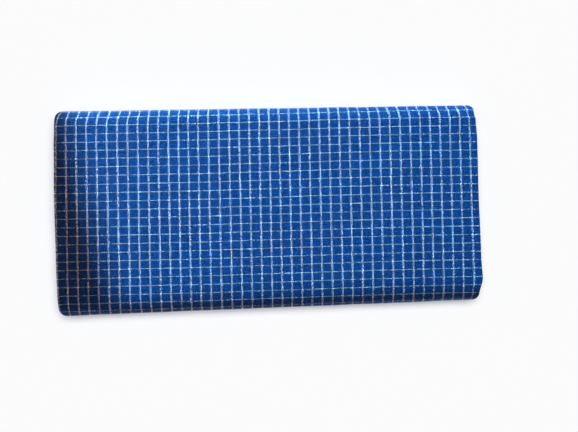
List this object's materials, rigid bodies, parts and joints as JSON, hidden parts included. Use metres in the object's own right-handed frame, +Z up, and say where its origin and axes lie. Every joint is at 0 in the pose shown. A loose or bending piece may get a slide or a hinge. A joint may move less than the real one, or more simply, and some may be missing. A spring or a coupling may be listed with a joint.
{
  "type": "folded lungi",
  "caption": "Lungi, a length of checked cotton worn wrapped at the waist, here folded and turned over on itself into a flat pack with rolled long edges, lying on a surface.",
  "frame": {"origin": "on the surface that the pack lies on, under the middle of the pack's box", "axes": "+X along the pack towards the end with the selvedges, +Y towards the fuller long edge, +Z up"},
  "size_m": [0.316, 0.1518, 0.0196],
  "materials": {
    "checked_cotton": "matt plain-weave cotton, blue with a fine white window-pane check"
  },
  "bodies": {
    "root": {"outer_turn": "checked_cotton", "inner_turns": "checked_cotton"}
  },
  "joints": []
}
